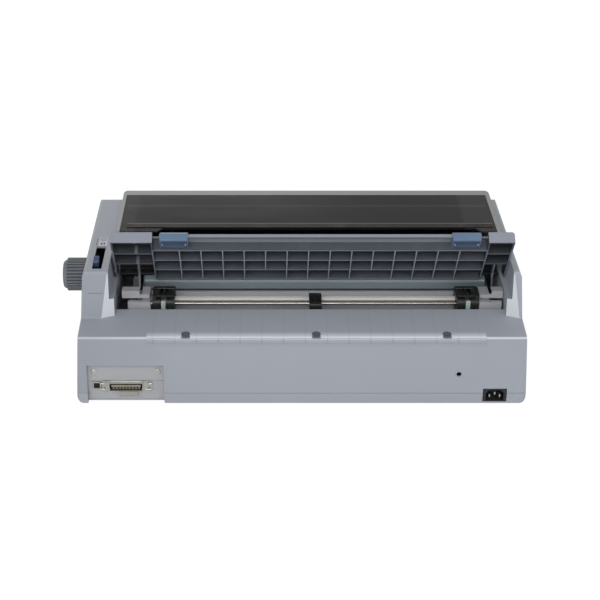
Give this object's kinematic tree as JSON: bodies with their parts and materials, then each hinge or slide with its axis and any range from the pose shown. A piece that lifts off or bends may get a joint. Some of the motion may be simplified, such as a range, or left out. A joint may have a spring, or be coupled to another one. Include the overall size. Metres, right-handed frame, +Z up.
{
  "type": "dot matrix printer",
  "caption": "Wide-carriage dot matrix printer with hinged smoked cover, raised ribbed rear paper guide, push tractors and side feed knob.",
  "frame": {"origin": "on the floor plane under the middle of the case, without the knob", "axes": "+X to the side with the feed knob (the operator's right), +Y to the rear, +Z up"},
  "size_m": [0.6454, 0.4053, 0.226],
  "materials": {
    "case_plastic": "light grey-blue moulded plastic, fine texture",
    "guide_plastic": "slate grey moulded plastic",
    "cover_plastic": "light grey moulded plastic",
    "smoked": "smoked transparent plastic",
    "blue_plastic": "blue-grey plastic",
    "black_plastic": "black plastic",
    "dark_plastic": "dark grey plastic",
    "lever_plastic": "dark blue plastic",
    "pale_plastic": "pale greenish plastic",
    "bar_plastic": "brown-grey plastic",
    "steel": "bright steel rod",
    "sheet": "plated sheet steel",
    "chrome": "nickel plate",
    "rubber": "black rubber",
    "board": "green circuit board",
    "brass": "turned brass"
  },
  "bodies": {
    "case": {"lower_case": "case_plastic", "rubber_feet": "rubber", "upper_case": "case_plastic", "slot_cover": "sheet", "slot_cover_screws": "chrome", "socket_panel": "sheet", "usb_socket": "chrome", "parallel_socket": "chrome", "ac_inlet": "black_plastic", "main_board": "board", "power_supply": "sheet", "chassis_plate": "sheet", "left_side_frame": "sheet", "right_side_frame": "sheet", "fixed_shafts": "steel", "shaft_brackets": "pale_plastic", "paper_pan": "sheet", "lower_entry_guide": "sheet", "upper_entry_guide": "guide_plastic", "exit_guide": "black_plastic", "ribbon_cartridge": "black_plastic", "motors": "dark_plastic", "carriage_belt": "rubber", "control_panel": "dark_plastic"},
    "printer_cover": {"cover_frame": "cover_plastic", "cover_window": "smoked", "tear_off_bar": "bar_plastic"},
    "rear_paper_guide": {"paper_guide": "guide_plastic"},
    "left_edge_guide_body": {"left_edge_guide": "blue_plastic"},
    "right_edge_guide_body": {"right_edge_guide": "blue_plastic"},
    "platen": {"platen_roller": "rubber", "platen_shaft": "steel", "platen_gear": "pale_plastic", "paper_feed_knob": "dark_plastic"},
    "idler": {"idler_gear": "pale_plastic"},
    "feed_pinion": {"motor_pinion": "brass"},
    "tractor_drive": {"drive_shaft": "steel", "tractor_gear": "pale_plastic"},
    "left_tractor": {"left_tractor_case": "black_plastic"},
    "left_wheel": {"left_tractor_wheel": "black_plastic"},
    "left_flap": {"left_tractor_flap": "black_plastic"},
    "left_lock": {"left_tractor_lock": "pale_plastic"},
    "right_tractor": {"right_tractor_case": "black_plastic"},
    "right_wheel": {"right_tractor_wheel": "black_plastic"},
    "right_flap": {"right_tractor_flap": "black_plastic"},
    "right_lock": {"right_tractor_lock": "pale_plastic"},
    "centre_support": {"paper_support": "black_plastic"},
    "carriage": {"print_carriage": "black_plastic", "print_head": "dark_plastic"},
    "left_pulley": {"left_belt_pulley": "pale_plastic"},
    "right_pulley": {"right_belt_pulley": "pale_plastic"},
    "release": {"release_lever": "lever_plastic"},
    "thickness": {"thickness_lever": "lever_plastic"},
    "left_bail": {"left_wire_bail": "chrome"},
    "right_bail": {"right_wire_bail": "chrome"},
    "pause": {"pause_button": "pale_plastic"},
    "feed": {"feed_button": "pale_plastic"},
    "load": {"load_button": "pale_plastic"},
    "font": {"font_button": "pale_plastic"},
    "mains_switch": {"power_switch": "black_plastic"}
  },
  "joints": [
    {"name": "cover_hinge", "type": "hinge", "parent": "case", "child": "printer_cover", "pos_m": [0, 0.025, 0.1745], "axis": [-1, 0, 0], "range_deg": [0, 70]},
    {"name": "paper_guide_hinge", "type": "hinge", "parent": "case", "child": "rear_paper_guide", "pos_m": [0, 0.079, 0.139], "axis": [1, 0, 0], "range_deg": [-52, 0]},
    {"name": "left_edge_guide_slide", "type": "slide", "parent": "rear_paper_guide", "child": "left_edge_guide_body", "axis": [1, 0, 0], "range_m": [-0.13, 0]},
    {"name": "right_edge_guide_slide", "type": "slide", "parent": "rear_paper_guide", "child": "right_edge_guide_body", "axis": [1, 0, 0], "range_m": [0, 0.13]},
    {"name": "platen_turn", "type": "hinge", "parent": "case", "child": "platen", "pos_m": [0, 0.0184, 0.11], "axis": [1, 0, 0], "continuous": true},
    {"name": "idler_turn", "type": "hinge", "parent": "case", "child": "idler", "pos_m": [0, 0.06081, 0.10204], "axis": [1, 0, 0], "continuous": true},
    {"name": "feed_pinion_turn", "type": "hinge", "parent": "case", "child": "feed_pinion", "pos_m": [0, 0.06081, 0.07289], "axis": [1, 0, 0], "continuous": true},
    {"name": "tractor_drive_turn", "type": "hinge", "parent": "case", "child": "tractor_drive", "pos_m": [0, 0.0973, 0.109], "axis": [1, 0, 0], "continuous": true},
    {"name": "left_tractor_slide", "type": "slide", "parent": "case", "child": "left_tractor", "axis": [1, 0, 0], "range_m": [-0.13, 0]},
    {"name": "left_wheel_turn", "type": "hinge", "parent": "left_tractor", "child": "left_wheel", "pos_m": [0.19, 0.0973, 0.109], "axis": [1, 0, 0], "continuous": true},
    {"name": "left_flap_hinge", "type": "hinge", "parent": "left_tractor", "child": "left_flap", "pos_m": [0.20185, 0.11, 0.1242], "axis": [0, 1, 0], "range_deg": [0, 100]},
    {"name": "left_lock_hinge", "type": "hinge", "parent": "left_tractor", "child": "left_lock", "pos_m": [0.19, 0.1166, 0.112], "axis": [1, 0, 0], "range_deg": [-60, 0]},
    {"name": "right_tractor_slide", "type": "slide", "parent": "case", "child": "right_tractor", "axis": [1, 0, 0], "range_m": [0, 0.13]},
    {"name": "right_wheel_turn", "type": "hinge", "parent": "right_tractor", "child": "right_wheel", "pos_m": [-0.23, 0.0973, 0.109], "axis": [1, 0, 0], "continuous": true},
    {"name": "right_flap_hinge", "type": "hinge", "parent": "right_tractor", "child": "right_flap", "pos_m": [-0.24185, 0.11, 0.1242], "axis": [0, -1, 0], "range_deg": [0, 100]},
    {"name": "right_lock_hinge", "type": "hinge", "parent": "right_tractor", "child": "right_lock", "pos_m": [-0.23, 0.1166, 0.112], "axis": [1, 0, 0], "range_deg": [-60, 0]},
    {"name": "centre_support_slide", "type": "slide", "parent": "case", "child": "centre_support", "axis": [1, 0, 0], "range_m": [-0.05, 0.05]},
    {"name": "carriage_slide", "type": "slide", "parent": "case", "child": "carriage", "axis": [1, 0, 0], "range_m": [0, 0.34]},
    {"name": "left_pulley_turn", "type": "hinge", "parent": "case", "child": "left_pulley", "pos_m": [0.1996, -0.062, 0.06], "axis": [0, 1, 0], "range_deg": [-20, 2820]},
    {"name": "right_pulley_turn", "type": "hinge", "parent": "case", "child": "right_pulley", "pos_m": [-0.2456, -0.062, 0.06], "axis": [0, 1, 0], "range_deg": [-20, 2820]},
    {"name": "release_lever_hinge", "type": "hinge", "parent": "case", "child": "release", "pos_m": [0.2796, 0.095, 0.112], "axis": [1, 0, 0], "range_deg": [0, 30]},
    {"name": "thickness_lever_hinge", "type": "hinge", "parent": "case", "child": "thickness", "pos_m": [-0.264, -0.0116, 0.104], "axis": [1, 0, 0], "range_deg": [0, 25]},
    {"name": "left_bail_hinge", "type": "hinge", "parent": "case", "child": "left_bail", "pos_m": [0.2675, 0.1964, 0.0253], "axis": [0, 0, 1], "range_deg": [0, 100]},
    {"name": "right_bail_hinge", "type": "hinge", "parent": "case", "child": "right_bail", "pos_m": [0.2105, 0.1964, 0.0253], "axis": [0, 0, -1], "range_deg": [0, 100]},
    {"name": "pause_button_travel", "type": "slide", "parent": "case", "child": "pause", "axis": [0, -0.7602, 0.6497], "range_m": [-0.0015, 0], "stiffness_N_per_m": 300, "springref_m": 0.001},
    {"name": "feed_button_travel", "type": "slide", "parent": "case", "child": "feed", "axis": [0, -0.7602, 0.6497], "range_m": [-0.0015, 0], "stiffness_N_per_m": 300, "springref_m": 0.001},
    {"name": "load_button_travel", "type": "slide", "parent": "case", "child": "load", "axis": [0, -0.7602, 0.6497], "range_m": [-0.0015, 0], "stiffness_N_per_m": 300, "springref_m": 0.001},
    {"name": "font_button_travel", "type": "slide", "parent": "case", "child": "font", "axis": [0, -0.7602, 0.6497], "range_m": [-0.0015, 0], "stiffness_N_per_m": 300, "springref_m": 0.001},
    {"name": "mains_switch_rock", "type": "hinge", "parent": "case", "child": "mains_switch", "pos_m": [0.25, -0.192, 0.042], "axis": [1, 0, 0], "range_deg": [-14, 0]}
  ],
  "couplings": [
    {"joint": "idler_turn", "follows": "platen_turn", "ratio": -0.95455},
    {"joint": "feed_pinion_turn", "follows": "platen_turn", "ratio": 3},
    {"joint": "tractor_drive_turn", "follows": "platen_turn", "ratio": 1.4},
    {"joint": "left_wheel_turn", "follows": "platen_turn", "ratio": 1.4},
    {"joint": "right_wheel_turn", "follows": "platen_turn", "ratio": 1.4},
    {"joint": "left_pulley_turn", "follows": "carriage_slide", "rad_per_m": 142.86},
    {"joint": "right_pulley_turn", "follows": "carriage_slide", "rad_per_m": 142.86}
  ]
}
